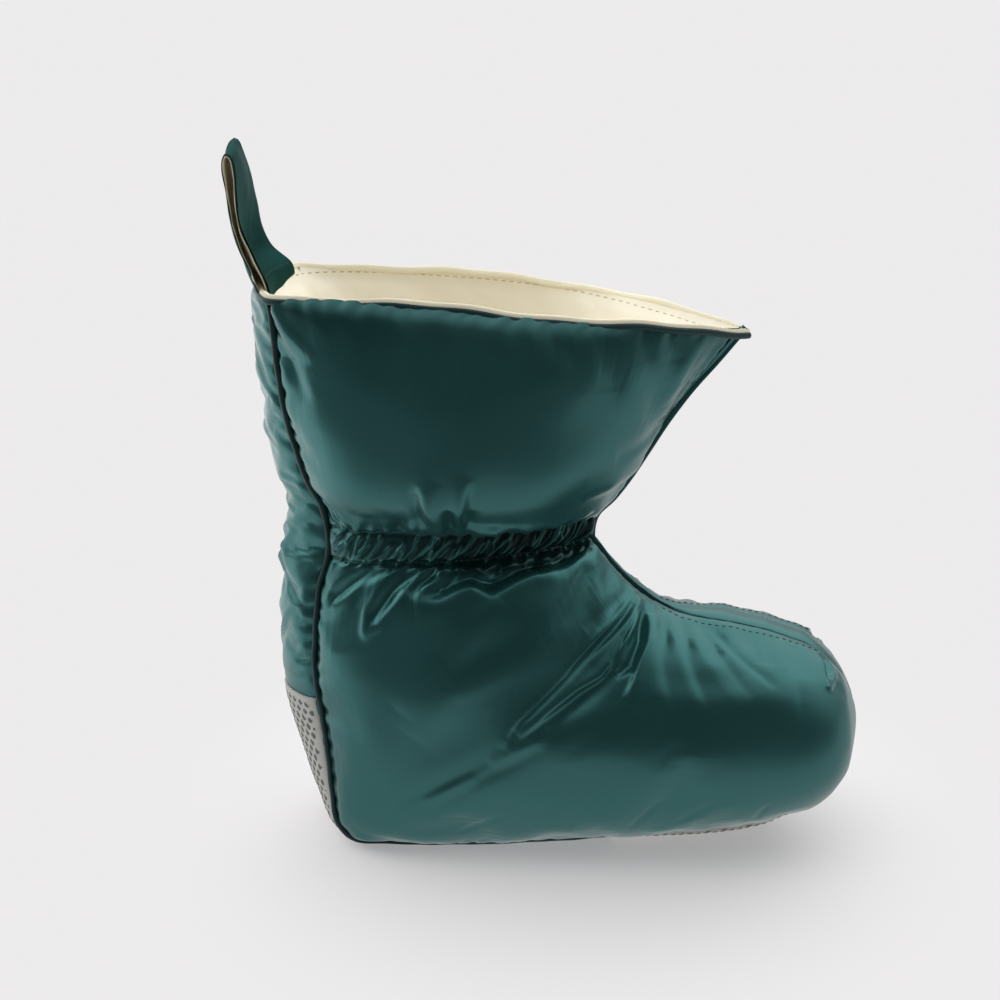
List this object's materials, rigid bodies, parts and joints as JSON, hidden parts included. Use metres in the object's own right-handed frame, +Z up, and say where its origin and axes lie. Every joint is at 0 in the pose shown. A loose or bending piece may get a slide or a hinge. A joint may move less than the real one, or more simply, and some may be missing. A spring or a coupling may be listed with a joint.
{
  "type": "down bootie",
  "caption": "Down-filled bootie in teal satin nylon with a flared shaft, elastic waist, cream lining, wide pull loop at the back and grey grip patches under the heel and the ball of the foot.",
  "frame": {"origin": "on the floor, on the flat spot under the heel, midway between the left and right sides", "axes": "+X towards the toe, +Y towards the wearer's left, +Z up the shaft"},
  "size_m": [0.3211, 0.1296, 0.3622],
  "materials": {
    "shell": "satin",
    "trim": "satin",
    "footbed": "matte",
    "grip": "matte"
  },
  "bodies": {
    "root": {"upper": "shell", "sole": "shell", "insole": "footbed", "seam_welt_left": "trim", "seam_welt_right": "trim", "heel_patch": "grip", "forefoot_patch": "grip", "pull_loop": "trim"}
  },
  "joints": []
}
